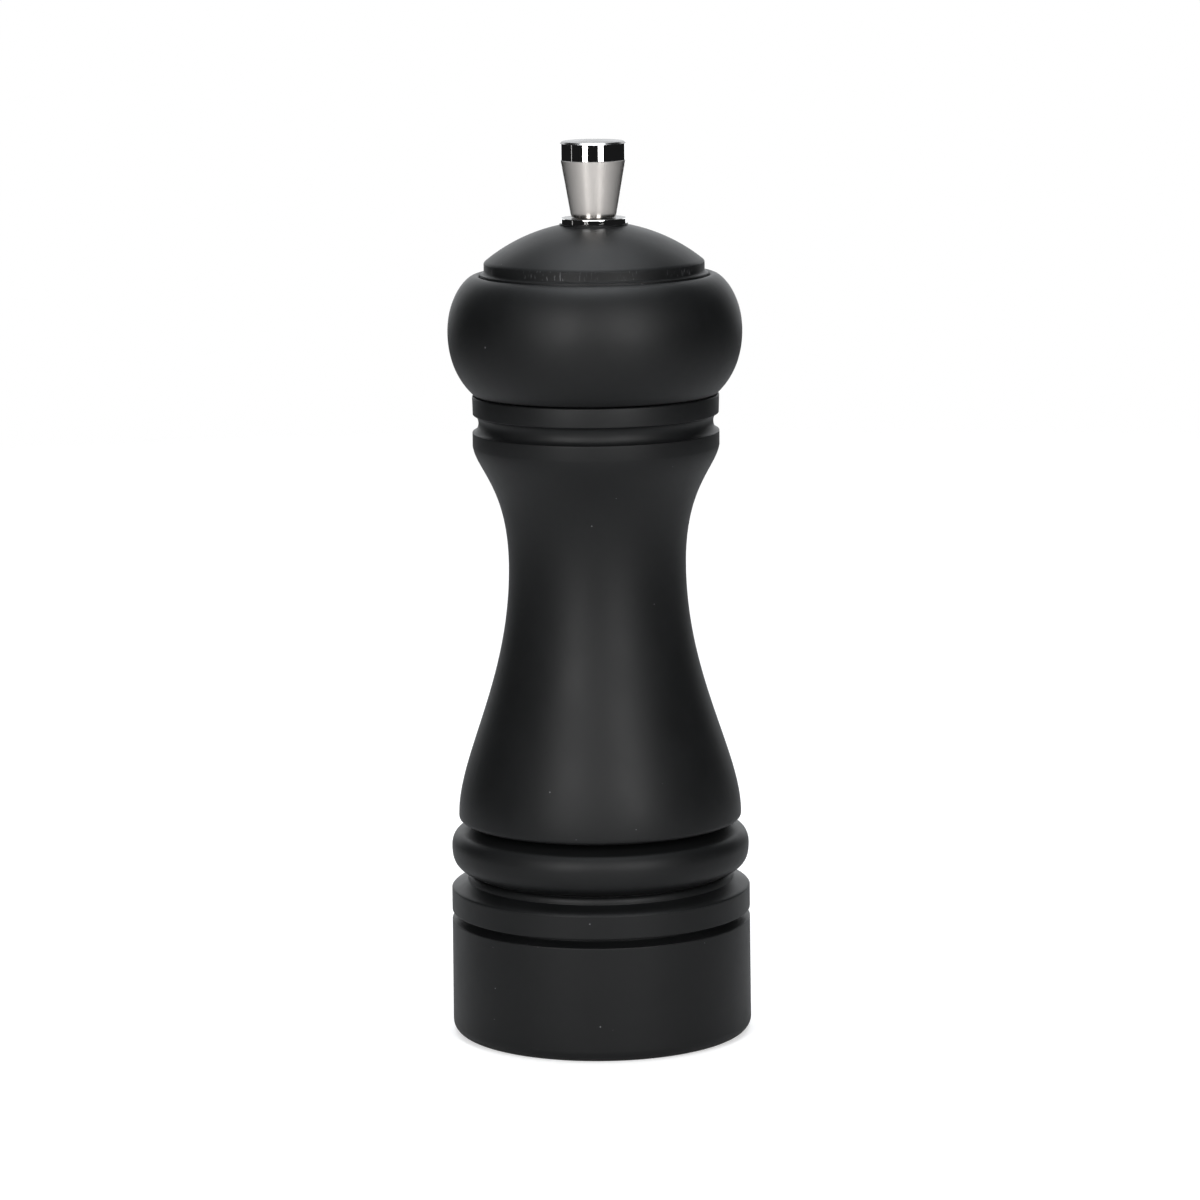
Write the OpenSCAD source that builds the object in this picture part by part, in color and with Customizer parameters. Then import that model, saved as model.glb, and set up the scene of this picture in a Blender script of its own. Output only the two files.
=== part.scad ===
// Pepper mill: a turned wooden body and head with a steel cone grinder in the base.
// Millimetres, +Z up, with the origin in the middle of the foot, on the surface it stands on.
// The head turns the square spindle and the rotor; the knob on top draws the rotor up or lets it down.

/* [Turned body] */
// Height of the body, from the foot to the joint under the head
body_h = 129.9; // [120:0.1:170]
// Radius of the base
base_r = 30.3; // [29.5:0.1:33]
// Radius of the waist
waist_r = 17.8; // [17:0.1:21]
// Radius of the ring and the collar at the neck
neck_r = 24.7; // [24:0.1:27]
// Radius of the rounded edge of the foot
foot_edge = 2.4; // [1:0.1:3]

/* [Turned head] */
// Largest radius of the head
head_r = 29.4; // [28.5:0.1:32]
// Radius of the raised disc on the head
disc_r = 22; // [20:0.1:22.4]
// Sphere radius of the dome on the disc
dome_r = 34.5; // [30:0.5:60]
// Gap between the head and the body
joint_gap = 0.3; // [0.2:0.05:0.5]

/* [Bores] */
// Radius of the peppercorn chamber
chamber_r = 13; // [11.5:0.1:13]
// Radius of the socket that the head's tenon turns in
socket_r = 15.5; // [15:0.1:17]
// Depth of that socket
socket_d = 13.7; // [13.2:0.1:16]
// Radius of the recess under the grinder
outlet_r = 21.5; // [21:0.1:22.5]
// Depth of that recess
outlet_d = 10.5; // [10.5:0.1:12]

/* [Spindle and knob] */
// Width across the flats of the square spindle
square_w = 5; // [4.6:0.1:5.2]
// Pitch of the thread under the knob
thread_pitch = 0.8; // [0.7:0.05:1]
// Radius of the knob at its top and of the collar under it
knob_r = 6.5; // [6:0.1:8]
// Radius of the knob at its foot
knob_foot_r = 4.45; // [4.4:0.05:5.5]
// Height of the knob
knob_h = 15.15; // [14:0.05:18]

/* [Grinder] */
// Radial gap between the teeth at rest
grind_gap = 0.26; // [0.24:0.01:0.4]
// Number of fine teeth on the ring burr
ring_teeth = 36; // [24:1:40]
// Number of fine teeth on the cone burr
cone_teeth = 30; // [20:1:36]
// Number of coarse flutes on each burr
flutes = 6; // [4:1:8]

/* [Hidden] */
$fn = 96;
eps = 0.01;
slip = 0.05;          // gap of a fitted piece in its seat
run = 0.1;            // gap of a turning or sliding piece

// levels, from the foot up
flange_z = outlet_d - 1.5;
lip_z = flange_z + 2;
fine_z = lip_z + 4.5;
rotor_z = lip_z - 0.5;
rotor_top = lip_z + 10.5;
stator_top = lip_z + 17;
bridge_z = lip_z + 22;
ledge_z = bridge_z + 1.6;
socket_z = body_h - socket_d;
head_z = body_h + joint_gap;
tenon_z = head_z - 12;
plate_z = tenon_z - 1.5;
collar_z = head_z + 33.75;
collar_top = collar_z + 1.15;
knob_z = collar_top + 0.15;
knob_top = knob_z + knob_h;
thread_z = head_z + 20;
spindle_top = knob_top - 6;
journal_z = flange_z - 2.6;

// grinder radii
housing_r = 13.9;
burr_seat_r = 12.5;
ring_r = 8.75;        // teeth of the ring at its narrowest
fine_slope = 0.2;     // widening of the fine teeth, per millimetre downwards
corner_r = square_w * 0.68;
journal_r = square_w / 2 - 0.1;
thread_r = square_w / 2;
screw_circle = 17.3;
strap_screw_y = 16.3;
plate_screw_circle = 8.2;

function bezier(a, b, c, d, n) =
    [for (i = [0:n]) let (t = i / n)
        pow(1 - t, 3) * a + 3 * pow(1 - t, 2) * t * b + 3 * (1 - t) * t * t * c + pow(t, 3) * d];

function arc(centre, r, from, to, n) =
    [for (i = [0:n]) let (a = from + (to - from) * i / n) centre + r * [cos(a), sin(a)]];

// The outer outline of the body as [radius, height], from the foot to the top face
function base_outline() = concat(
    arc([base_r - foot_edge, foot_edge], foot_edge, -90, 0, 6),
    bezier([base_r - 0.1, 23.3], [base_r - 2.5, 23.7], [base_r - 3.8, 25.1], [base_r - 0.1, 25.1], 8),
    [[base_r - 0.1, 29.7]]);

function bead_outline() = concat(
    bezier([base_r - 0.2, 29.7], [base_r - 0.2, 30.1], [base_r - 0.9, 30.35], [base_r - 3.4, 31.35], 8),
    bezier([base_r - 3.4, 31.35], [base_r - 3.4, 32.2], [base_r - 3.8, 32.75], [base_r - 4.4, 32.75], 6),
    bezier([base_r - 4.4, 32.85], [base_r - 1.2, 34], [base_r - 0.25, 35.1], [base_r - 0.25, 38.4], 10),
    bezier([base_r - 0.25, 38.4], [base_r - 0.25, 39.8], [base_r - 0.9, 41.2], [base_r - 2.1, 41.55], 8),
    [[base_r - 6, 42.9]]);

function flare_outline() = let (lip = base_r - 1.75, waist_z = body_h * 0.735, rise = body_h - waist_z)
    concat(
        bezier([base_r - 6, 43.4], [lip - 0.5, 43.4], [lip, 43.8], [lip, 44.7], 6),
        bezier([lip, 44.7], [lip, 56.8], [waist_r, waist_z - 23.4], [waist_r, waist_z], 32),
        bezier([waist_r, waist_z], [waist_r, waist_z + rise * 0.455],
               [neck_r - 0.7, body_h - 14.9], [neck_r, body_h - 10.2], 24));

function neck_outline() = concat(
    bezier([neck_r, body_h - 7.4], [neck_r - 1.6, body_h - 7.1], [neck_r - 1.6, body_h - 4.1],
           [neck_r - 0.1, body_h - 3.8], 12),
    arc([neck_r - 0.3, body_h - 0.3], 0.3, 0, 90, 3));

function body_outline() = concat(
    [[0, 0]], base_outline(), bead_outline(), flare_outline(), neck_outline(), [[0, body_h]]);

// The head as [radius, height], from the axis at the end of the tenon to the flat under the collar
function bulge_outline() = concat(
    bezier([neck_r, head_z + 0.2], [neck_r + 1.95, head_z + 2.1], [head_r, head_z + 5.8],
           [head_r, head_z + 12.4], 20),
    bezier([head_r, head_z + 12.4], [head_r, head_z + 20.4], [head_r - 5.2, head_z + 25],
           [disc_r + 1, head_z + 23.3], 24),
    [[disc_r + 0.8, head_z + 23], [disc_r + 0.7, head_z + 23.9]],
    arc([disc_r + 0.65, head_z + 24.6], 0.65, -90, -180, 4));

function dome_outline() = let (
        rim_z = head_z + 26.2,
        centre_z = rim_z - sqrt(dome_r * dome_r - disc_r * disc_r),
        from = acos((disc_r - 0.2) / dome_r), to = acos((knob_r + 0.3) / dome_r))
    concat([[disc_r, rim_z - 0.15]], arc([0, centre_z], dome_r, from, to, 18));

function head_outline() = concat(
    [[0, tenon_z], [socket_r - joint_gap - 0.7, tenon_z], [socket_r - joint_gap, tenon_z + 0.7],
     [socket_r - joint_gap, head_z], [neck_r - 0.2, head_z]],
    bulge_outline(), dome_outline(), [[knob_r + 0.3, collar_z], [0, collar_z]]);

module lathe(points) { rotate_extrude() polygon(points); }

module bore(r, from, to) { translate([0, 0, from]) cylinder(r = r, h = to - from); }

module tube(outer, inner, from, to) {
    difference() {
        bore(outer, from, to);
        bore(inner, from - 1, to + 1);
    }
}

// Repeats its children round the axis
module ring_of(count, radius, first = 0) {
    for (i = [0:count - 1])
        rotate([0, 0, first + i * 360 / count])
            translate([radius, 0, 0])
                children();
}

module square_bore(gap, from, to) {
    width = square_w + 2 * gap;
    translate([-width / 2, -width / 2, from])
        cube([width, width, to - from]);
}

// ---- body, which stands still ----

module body_shell() {
    color([0.05, 0.05, 0.055])
        difference() {
            lathe(body_outline());
            bore(outlet_r, -1, outlet_d);
            bore(housing_r + run, 0, ledge_z);
            bore(chamber_r, 0, body_h + 1);
            bore(socket_r, socket_z, body_h + 1);
            translate([0, 0, socket_z - 2.5])
                cylinder(r1 = chamber_r, r2 = socket_r - 0.4, h = 2.5 + eps);
            translate([0, 0, body_h - 0.6])
                cylinder(r1 = socket_r, r2 = socket_r + 0.7, h = 0.6 + eps);
            translate([0, 0, -eps])
                cylinder(r1 = outlet_r + 0.8, r2 = outlet_r, h = 0.8);
            ring_of(3, screw_circle)
                bore(1.4 + slip, outlet_d - 1, outlet_d + 10);
        }
}

module grinder_housing() {
    color("silver")
        difference() {
            union() {
                bore(housing_r, flange_z, bridge_z);
                bore(outlet_r - 0.7, flange_z, outlet_d);
            }
            bore(burr_seat_r, lip_z, bridge_z + 1);
            bore(ring_r + 1.85, 0, bridge_z);
            ring_of(3, screw_circle)
                bore(1.4 + run, 0, outlet_d + 1);
            for (side = [-1, 1])
                translate([0, side * strap_screw_y, 0])
                    bore(1.25 + slip, 0, outlet_d + 1);
        }
}

// A straight V-shaped cutter that stands on the XY plane, with its edge towards +X
module tooth_cut(width, depth, length) {
    linear_extrude(length)
        polygon([[-depth, -width], [-depth, width], [depth, 0]]);
}

// Radius of the ring's fine teeth at a height
function ring_tooth_r(z) = ring_r + fine_slope * (fine_z - z);

module stator() {
    cut_z = lip_z - 1.5;
    ring_outline = [
        [burr_seat_r - slip, lip_z], [burr_seat_r - slip, stator_top],
        [burr_seat_r - 0.9, stator_top], [ring_r + 1.15, fine_z + 6],
        [ring_r, fine_z], [ring_tooth_r(lip_z), lip_z]];
    color([0.36, 0.36, 0.38])
        difference() {
            lathe(ring_outline);
            ring_of(ring_teeth, ring_tooth_r(cut_z))
                translate([0, 0, cut_z])
                    rotate([15, -atan(fine_slope), 0])
                        tooth_cut(1.1, 0.6, 8);
            ring_of(2 * flutes, ring_r + 0.55)
                translate([0, 0, fine_z + 1])
                    rotate([-15, 5.7, 0])
                        cylinder(r = 1.2, h = 16, $fn = 24);
        }
}

module upper_bridge() {
    arm_w = 6;
    color([0.72, 0.72, 0.74])
        difference() {
            union() {
                tube(housing_r - slip, burr_seat_r - 0.6, bridge_z, ledge_z);
                bore(5.6, bridge_z, ledge_z);
                translate([-burr_seat_r, -arm_w / 2, bridge_z])
                    cube([2 * burr_seat_r, arm_w, ledge_z - bridge_z]);
            }
            bore(4.25 + slip, bridge_z - 1, ledge_z + 1);
        }
}

module upper_bush() {
    color([0.85, 0.84, 0.78])
        difference() {
            union() {
                bore(4.25, bridge_z - 0.8, ledge_z + 0.6);
                bore(5.4, bridge_z - 0.8, bridge_z);
            }
            bore(corner_r + 0.25, bridge_z - 2, ledge_z + 2);
        }
}

module lower_bridge() {
    strap_w = 7;
    bottom = flange_z - 1.5;
    color([0.72, 0.72, 0.74])
        difference() {
            union() {
                translate([-strap_w / 2, -strap_screw_y, bottom])
                    cube([strap_w, 2 * strap_screw_y, 1.5]);
                for (side = [-1, 1])
                    translate([0, side * strap_screw_y, 0])
                        bore(strap_w / 2, bottom, flange_z);
                bore(6, bottom, flange_z);
            }
            bore(3.5 + slip, bottom - 1, flange_z + 1);
            for (side = [-1, 1])
                translate([0, side * strap_screw_y, 0])
                    bore(1.25 + run, bottom - 1, flange_z + 1);
        }
}

module lower_bush() {
    color([0.85, 0.84, 0.78])
        difference() {
            union() {
                bore(3.5, flange_z - 2.2, flange_z);
                bore(4.6, flange_z - 2.2, flange_z - 1.5);
            }
            bore(journal_r + run, flange_z - 3, flange_z + 1);
        }
}

// A cross-recessed pan head that hangs below z = 0
module pan_head(r, height) {
    difference() {
        rotate_extrude()
            polygon(concat([[0, 0], [0, -height]],
                           arc([r - 0.9, -height + 0.9], 0.9, -90, 0, 4), [[r, 0]]));
        for (turn = [0, 90])
            rotate([0, 0, turn])
                translate([-r * 0.55, -0.3, -height - 1])
                    cube([r * 1.1, 0.6, 1.7]);
    }
}

module wood_screw() {
    pan_head(2.7, 1.7);
    rotate_extrude()
        polygon(concat([[0, 0], [1.4, 0]],
                       [for (i = [0:6]) each [[1.4, 1.4 + i], [1.1, 1.9 + i]]],
                       [[0, 9.8]]));
}

module housing_screws() {
    color([0.75, 0.75, 0.76])
        ring_of(3, screw_circle)
            translate([0, 0, flange_z])
                wood_screw();
}

module bridge_screws() {
    color([0.75, 0.75, 0.76])
        for (side = [-1, 1])
            translate([0, side * strap_screw_y, flange_z - 1.5]) {
                pan_head(2.3, 1.3);
                bore(1.25, 0, 2.9);
            }
}

// ---- what turns with the head ----

module thrust_washer() {
    color("goldenrod")
        difference() {
            bore(5.4, bridge_z - 1.8, bridge_z - 0.9);
            square_bore(run, bridge_z - 3, bridge_z);
        }
}

// A round wire swept along a helix whose end turns lie flat
module grinder_spring() {
    wire_r = 0.4;
    coil_r = 4.7;
    turns = 6;
    steps = 14 * turns;
    sides = 8;
    low = rotor_top + 0.75 + wire_r;
    high = bridge_z - 1.85 - wire_r;
    dead = 0.12;                       // share of the length in each flat end turn
    function height(t) = let (u = min(1, max(0, (t - dead) / (1 - 2 * dead))))
        low + (high - low) * u;
    function ring(i) = let (t = i / steps, turn = 360 * turns * t)
        [for (k = [0:sides - 1]) let (a = 360 * k / sides, r = coil_r + wire_r * cos(a))
            [r * cos(turn), r * sin(turn), height(t) + wire_r * sin(a)]];
    points = [for (i = [0:steps]) each ring(i)];
    skin = [for (i = [0:steps - 1], k = [0:sides - 1]) let (n = (k + 1) % sides)
        [i * sides + k, (i + 1) * sides + k, (i + 1) * sides + n, i * sides + n]];
    caps = [[for (k = [0:sides - 1]) k], [for (k = [sides - 1:-1:0]) steps * sides + k]];
    color([0.6, 0.6, 0.62])
        polyhedron(points = points, faces = concat(skin, caps), convexity = 10);
}

// ---- spindle and rotor, which also move up and down with the knob's thread ----

module spindle() {
    thread_turns = floor((spindle_top - thread_z - 3) / thread_pitch);
    color([0.78, 0.78, 0.8])
        union() {
            translate([0, 0, fine_z - 1.5])
                linear_extrude(thread_z - fine_z + 1.5)
                    intersection() {
                        square(square_w, center = true);
                        circle(corner_r);
                    }
            difference() {
                bore(journal_r, journal_z, fine_z);
                tube(journal_r + 1, journal_r - 0.5, fine_z - 3.1, fine_z - 2.3);
            }
            lathe(concat(
                [[0, thread_z - 1], [thread_r, thread_z - 1]],
                [for (i = [0:thread_turns - 1]) let (z = thread_z + 1.5 + i * thread_pitch)
                    each [[thread_r, z], [thread_r - 0.35, z + thread_pitch / 2]]],
                [[thread_r, spindle_top - 1], [thread_r - 0.6, spindle_top], [0, spindle_top]]));
        }
}

module rotor() {
    cut_z = rotor_z - 1;
    foot_r = ring_tooth_r(rotor_z) - grind_gap - 0.1;
    cone_outline = [
        [0, rotor_z], [foot_r - 0.4, rotor_z], [foot_r, rotor_z + 0.5],
        [ring_r - grind_gap, fine_z], [5.9, rotor_top], [0, rotor_top]];
    color([0.4, 0.4, 0.42])
        difference() {
            lathe(cone_outline);
            square_bore(slip, fine_z - 2, rotor_top + 1);
            bore(6, rotor_z - 1, fine_z - 1.5);
            ring_of(cone_teeth, ring_tooth_r(cut_z) - grind_gap)
                translate([0, 0, cut_z])
                    rotate([-15, -atan(fine_slope), 0])
                        mirror([1, 0, 0])
                            tooth_cut(1.2, 0.6, 8);
            ring_of(flutes, ring_r + 0.15)
                translate([0, 0, fine_z + 0.5])
                    rotate([20, -27, 0])
                        cylinder(r = 1.7, h = 12, $fn = 24);
        }
}

module spring_seat() {
    color("goldenrod")
        tube(5.7, corner_r + slip, rotor_top, rotor_top + 0.7);
}

module rotor_washer() {
    color([0.75, 0.75, 0.76])
        tube(4.8, journal_r + slip, fine_z - 2.3, fine_z - 1.5);
}

// A split retaining ring in the groove of the journal
module rotor_clip() {
    color([0.3, 0.3, 0.32])
        difference() {
            tube(journal_r + 1.6, journal_r - 0.45, fine_z - 3.05, fine_z - 2.35);
            translate([0, -1.1, fine_z - 4])
                cube([journal_r + 3, 2.2, 3]);
        }
}

// ---- head ----

module head() {
    color([0.05, 0.05, 0.055])
        difference() {
            lathe(head_outline());
            bore(corner_r + 0.5, tenon_z - 1, collar_z + 1);
            bore(4.6, collar_z - 6.5, collar_z + 1);
            ring_of(3, plate_screw_circle)
                bore(1 + slip, tenon_z - 1, tenon_z + 8.5);
        }
}

module collar_ring() {
    edge = 0.12;
    rim_r = knob_r + 0.05;
    inner = thread_r + 0.25;
    color([0.85, 0.85, 0.87])
        lathe([
            [inner, collar_z - 6], [4.55, collar_z - 6], [4.55, collar_z],
            [rim_r - edge, collar_z], [rim_r, collar_z + edge],
            [rim_r, collar_top - edge], [rim_r - edge, collar_top], [inner, collar_top]]);
}

module drive_plate() {
    color([0.75, 0.75, 0.77])
        difference() {
            bore(11.5, plate_z, tenon_z);
            square_bore(run + slip, plate_z - 1, tenon_z + 1);
            ring_of(3, plate_screw_circle) {
                bore(1 + run, plate_z - 1, tenon_z + 1);
                translate([0, 0, plate_z - eps])
                    cylinder(r1 = 2.25, r2 = 1.1, h = 1.15);
            }
        }
}

module countersunk_screw() {
    difference() {
        rotate_extrude()
            polygon([[0, 0], [2.15, 0], [1, 1.15], [1, 8], [0, 9.4]]);
        for (turn = [0, 90])
            rotate([0, 0, turn])
                translate([-1.1, -0.25, -1])
                    cube([2.2, 0.5, 1.7]);
    }
}

module drive_plate_screws() {
    color([0.75, 0.75, 0.76])
        ring_of(3, plate_screw_circle)
            translate([0, 0, plate_z])
                countersunk_screw();
}

// ---- knob ----

module knob() {
    band_z = knob_top - 3.8;
    band_r = knob_r + 0.05;
    bevel = 0.4;
    edge = 0.1;
    rim_z = knob_top - 0.12;           // the top face is crowned by this much
    insert_top = spindle_top + 0.3;
    color([0.8, 0.79, 0.77])
        difference() {
            lathe(concat(
                [[0, knob_z], [knob_foot_r - edge, knob_z], [knob_foot_r, knob_z + edge],
                 [band_r - edge, band_z - 0.05], [band_r, band_z],
                 [band_r, rim_z - bevel]],
                bezier([band_r - bevel, rim_z], [4, knob_top - 0.02], [2, knob_top], [0, knob_top], 5)));
            bore(3.8 + slip, knob_z - 1, insert_top);
            bore(thread_r + 0.3, knob_z, spindle_top + 1.6);
        }
}

module knob_insert() {
    threads = floor((spindle_top - knob_z - 2) / thread_pitch);
    insert_top = spindle_top + 0.2;
    inner = thread_r + 0.25;
    color("gold")
        lathe(concat(
            [[inner, insert_top], [3.8, insert_top], [3.8, knob_z + 0.3], [inner + 0.5, knob_z + 0.3]],
            [for (i = [0:threads - 1]) let (z = knob_z + 1 + i * thread_pitch)
                each [[inner, z], [inner + 0.3, z + thread_pitch / 2]]]));
}

body_shell();
grinder_housing();
stator();
upper_bridge();
upper_bush();
lower_bridge();
lower_bush();
housing_screws();
bridge_screws();
thrust_washer();
grinder_spring();
spindle();
rotor();
spring_seat();
rotor_washer();
rotor_clip();
head();
collar_ring();
drive_plate();
drive_plate_screws();
knob();
knob_insert();
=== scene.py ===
"""Looks of a turned pepper mill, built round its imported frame.

Lengths in this script are millimetres in the frame's own axes, and MM turns them into Blender's metres.
"""
import math

import bmesh
import bpy
from mathutils import Matrix, Vector


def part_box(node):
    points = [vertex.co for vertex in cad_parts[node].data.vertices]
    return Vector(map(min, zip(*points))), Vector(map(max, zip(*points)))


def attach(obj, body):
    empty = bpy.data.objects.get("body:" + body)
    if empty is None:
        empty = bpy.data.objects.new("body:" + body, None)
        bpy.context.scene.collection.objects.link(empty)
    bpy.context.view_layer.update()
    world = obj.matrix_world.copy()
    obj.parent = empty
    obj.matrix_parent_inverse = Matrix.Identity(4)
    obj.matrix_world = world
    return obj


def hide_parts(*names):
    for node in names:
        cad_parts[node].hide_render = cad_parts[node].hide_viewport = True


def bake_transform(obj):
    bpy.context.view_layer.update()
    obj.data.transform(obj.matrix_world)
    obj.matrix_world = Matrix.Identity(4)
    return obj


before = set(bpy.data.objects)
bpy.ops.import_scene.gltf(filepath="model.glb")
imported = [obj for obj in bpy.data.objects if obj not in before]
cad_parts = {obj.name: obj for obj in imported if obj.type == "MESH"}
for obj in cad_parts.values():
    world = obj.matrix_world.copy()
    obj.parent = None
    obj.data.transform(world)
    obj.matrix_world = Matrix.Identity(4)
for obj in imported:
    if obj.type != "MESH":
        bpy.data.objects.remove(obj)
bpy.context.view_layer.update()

MM = 0.001


def low(node):
    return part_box(node)[0] / MM


def high(node):
    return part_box(node)[1] / MM


# ---- driving dimensions, from the frame where it holds them ----

BASE_R = high("body_shell").x
BODY_H = high("body_shell").z
HEAD_R = high("head").x
JOINT_GAP = 0.3
HEAD_Z = BODY_H + JOINT_GAP
TENON_Z = low("head").z
COLLAR_Z = high("head").z
COLLAR_TOP = high("collar_ring").z
COLLAR_FOOT = low("collar_ring").z
KNOB_Z = low("knob").z
KNOB_TOP = high("knob").z
KNOB_R = high("knob").x
FLANGE_Z = low("grinder_housing").z
SPINDLE_TOP = high("spindle").z
SPINDLE_FOOT = low("spindle").z
CLIP_Z = low("rotor_clip").z
THREAD_Z = HEAD_Z + 20
THREAD_PITCH = 0.8
SQUARE_W = 5.0
SQUARE_CORNER_R = SQUARE_W * 0.68
THREAD_R = SQUARE_W / 2
JOURNAL_R = THREAD_R - 0.1
SQUARE_FOOT = high("rotor_washer").z

WAIST_R = 17.8
NECK_R = 24.7
FOOT_EDGE = 2.4
DISC_R = 22.0
DOME_R = 34.5
SOCKET_R = 15.5
SOCKET_D = 13.7
CHAMBER_R = 13.0
OUTLET_R = 21.5
OUTLET_D = 10.5
HOUSING_BORE_R = 14.0
LEDGE_Z = high("upper_bridge").z
BASE_RING_TOP = 29.7
DISC_FOOT_Z = HEAD_Z + 24.6
DISC_RIM_Z = HEAD_Z + 26.2
HEAD_BORE_R = SQUARE_CORNER_R + 0.5
SLEEVE_BORE_R = 4.6
THREAD_BORE_R = THREAD_R + 0.25
KNOB_FOOT_R = 4.45
KNOB_BAND_H = 3.8
KNOB_BEVEL = 0.4
KNOB_CROWN = 0.12
INSERT_R = 3.8
INSERT_SEAT_R = INSERT_R + 0.05
SCREW_CIRCLE = 17.3
STRAP_SCREW_Y = 16.3
PLATE_SCREW_CIRCLE = 8.2

LATHE_STEPS = 160
METAL_STEPS = 120
THREAD_STEPS = 14


# ---- outlines, as [radius, height] points ----

def bezier(a, b, c, d, steps):
    """Points of a cubic curve, both ends included."""
    made = []
    for i in range(steps + 1):
        t = i / steps
        weights = ((1 - t) ** 3, 3 * (1 - t) ** 2 * t, 3 * (1 - t) * t * t, t ** 3)
        made.append([sum(w * p[k] for w, p in zip(weights, (a, b, c, d))) for k in (0, 1)])
    return made


def arc(centre, radius, start, end, steps):
    """Points of an arc between two angles in degrees, both ends included."""
    made = []
    for i in range(steps + 1):
        turn = math.radians(start + (end - start) * i / steps)
        made.append([centre[0] + radius * math.cos(turn), centre[1] + radius * math.sin(turn)])
    return made


def base_outline():
    """The foot's rounded edge and the base ring, with its groove tucked up under the groove's top edge."""
    wall_r = BASE_R - 0.1
    groove_low, groove_high = 23.3, 25.1
    return (arc([BASE_R - FOOT_EDGE, FOOT_EDGE], FOOT_EDGE, -90, 0, 12)
            + bezier([wall_r, groove_low], [BASE_R - 2.5, groove_low + 0.4],
                     [BASE_R - 3.8, groove_high], [wall_r, groove_high], 20)
            + [[wall_r, BASE_RING_TOP]])


def bead_outline():
    """The sloping ledge over the base ring, the small ring on it, and the bead."""
    edge_r, ledge_r, ring_r, bead_r = (BASE_R - inset for inset in (0.2, 3.4, 4.4, 0.25))
    ledge_z, ring_z, bead_foot, widest_z, bead_top = 31.35, 32.75, 32.85, 38.4, 41.55
    return (bezier([edge_r, BASE_RING_TOP], [edge_r, 30.1], [BASE_R - 0.9, 30.35], [ledge_r, ledge_z], 14)
            + bezier([ledge_r, ledge_z], [ledge_r, 32.2], [BASE_R - 3.8, ring_z], [ring_r, ring_z], 12)[1:]
            + bezier([ring_r, bead_foot], [BASE_R - 1.2, 34], [bead_r, 35.1], [bead_r, widest_z], 18)
            + bezier([bead_r, widest_z], [bead_r, 39.8], [BASE_R - 0.9, 41.2], [BASE_R - 2.1, bead_top], 16)
            + [[BASE_R - 6, 42.9]])


def flare_outline():
    """From the groove over the bead, round the lip and in to the waist, then out to the neck."""
    lip = BASE_R - 1.75
    groove_z, lip_z = 43.4, 44.7
    waist_z = BODY_H * 0.735
    rise = BODY_H - waist_z
    return (bezier([BASE_R - 6, groove_z], [lip - 0.5, groove_z], [lip, 43.8], [lip, lip_z], 12)
            + bezier([lip, lip_z], [lip, 56.8], [WAIST_R, waist_z - 23.4], [WAIST_R, waist_z], 48)[1:]
            + bezier([WAIST_R, waist_z], [WAIST_R, waist_z + rise * 0.455],
                     [NECK_R - 0.7, BODY_H - 14.9], [NECK_R, BODY_H - 10.2], 36)[1:])


def neck_outline():
    """The neck groove and the ring over it."""
    groove_r, edge = NECK_R - 1.6, 0.3
    groove_low, groove_high = BODY_H - 7.4, BODY_H - 3.8
    return (bezier([NECK_R, groove_low], [groove_r, groove_low + 0.3],
                   [groove_r, groove_high - 0.3], [NECK_R - 0.1, groove_high], 20)
            + arc([NECK_R - edge, BODY_H - edge], edge, 0, 90, 4))


def bulge_outline():
    """The bulge, the crease behind it and the fillet at the foot of the disc."""
    widest_z, fillet = HEAD_Z + 12.4, 0.65
    return (bezier([NECK_R, HEAD_Z + 0.2], [NECK_R + 1.95, HEAD_Z + 2.1],
                   [HEAD_R, HEAD_Z + 5.8], [HEAD_R, widest_z], 32)
            + bezier([HEAD_R, widest_z], [HEAD_R, HEAD_Z + 20.4],
                     [HEAD_R - 5.2, HEAD_Z + 25], [DISC_R + 1, HEAD_Z + 23.3], 40)[1:]
            + [[DISC_R + 0.8, HEAD_Z + 23], [DISC_R + 0.7, HEAD_Z + 23.9]]
            + arc([DISC_R + fillet, DISC_FOOT_Z], fillet, -90, -180, 8))


def dome_outline():
    centre_z = DISC_RIM_Z - math.sqrt(DOME_R ** 2 - DISC_R ** 2)
    start = math.degrees(math.acos((DISC_R - 0.2) / DOME_R))
    end = math.degrees(math.acos((KNOB_R + 0.25) / DOME_R))
    return [[DISC_R, DISC_RIM_Z - 0.15]] + arc([0, centre_z], DOME_R, start, end, 36)


def soften(points, radius=0.15, least=25, closed=True):
    """Rounds each corner of an outline that turns by more than `least` degrees.

    Points carry a finish in third place.
    A point on either side of the rounding keeps its shading off the faces beyond.
    """
    made = []
    count = len(points)
    for i, point in enumerate(points):
        if not closed and i in (0, count - 1):
            made.append(point)
            continue
        here, before, after = (Vector(p[:2]) for p in (point, points[i - 1], points[(i + 1) % count]))
        inward, outward = here - before, after - here
        if min(inward.length, outward.length) < 1e-6:
            made.append(point)
            continue
        turn = inward.angle(outward)
        if turn < math.radians(least):
            made.append(point)
            continue
        cut = min(radius * math.tan(turn / 2), 0.4 * inward.length, 0.4 * outward.length)
        first, last = here - inward.normalized() * cut, here + outward.normalized() * cut
        hold_in, hold_out = min(radius, 0.08 * inward.length), min(radius, 0.08 * outward.length)
        made.append([*(first - inward.normalized() * hold_in), *points[i - 1][2:]])
        for t in (0, 0.25, 0.5, 0.75, 1):
            p = first * (1 - t) ** 2 + here * 2 * t * (1 - t) + last * t * t
            made.append([p.x, p.y, *point[2:]])
        made.append([*(last + outward.normalized() * hold_out), *point[2:]])
    return made


def finished(points, finish):
    return [[p[0], p[1], finish] for p in points]


# ---- meshes ----

def even_turns(count):
    return [2 * math.pi * i / count for i in range(count)]


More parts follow.
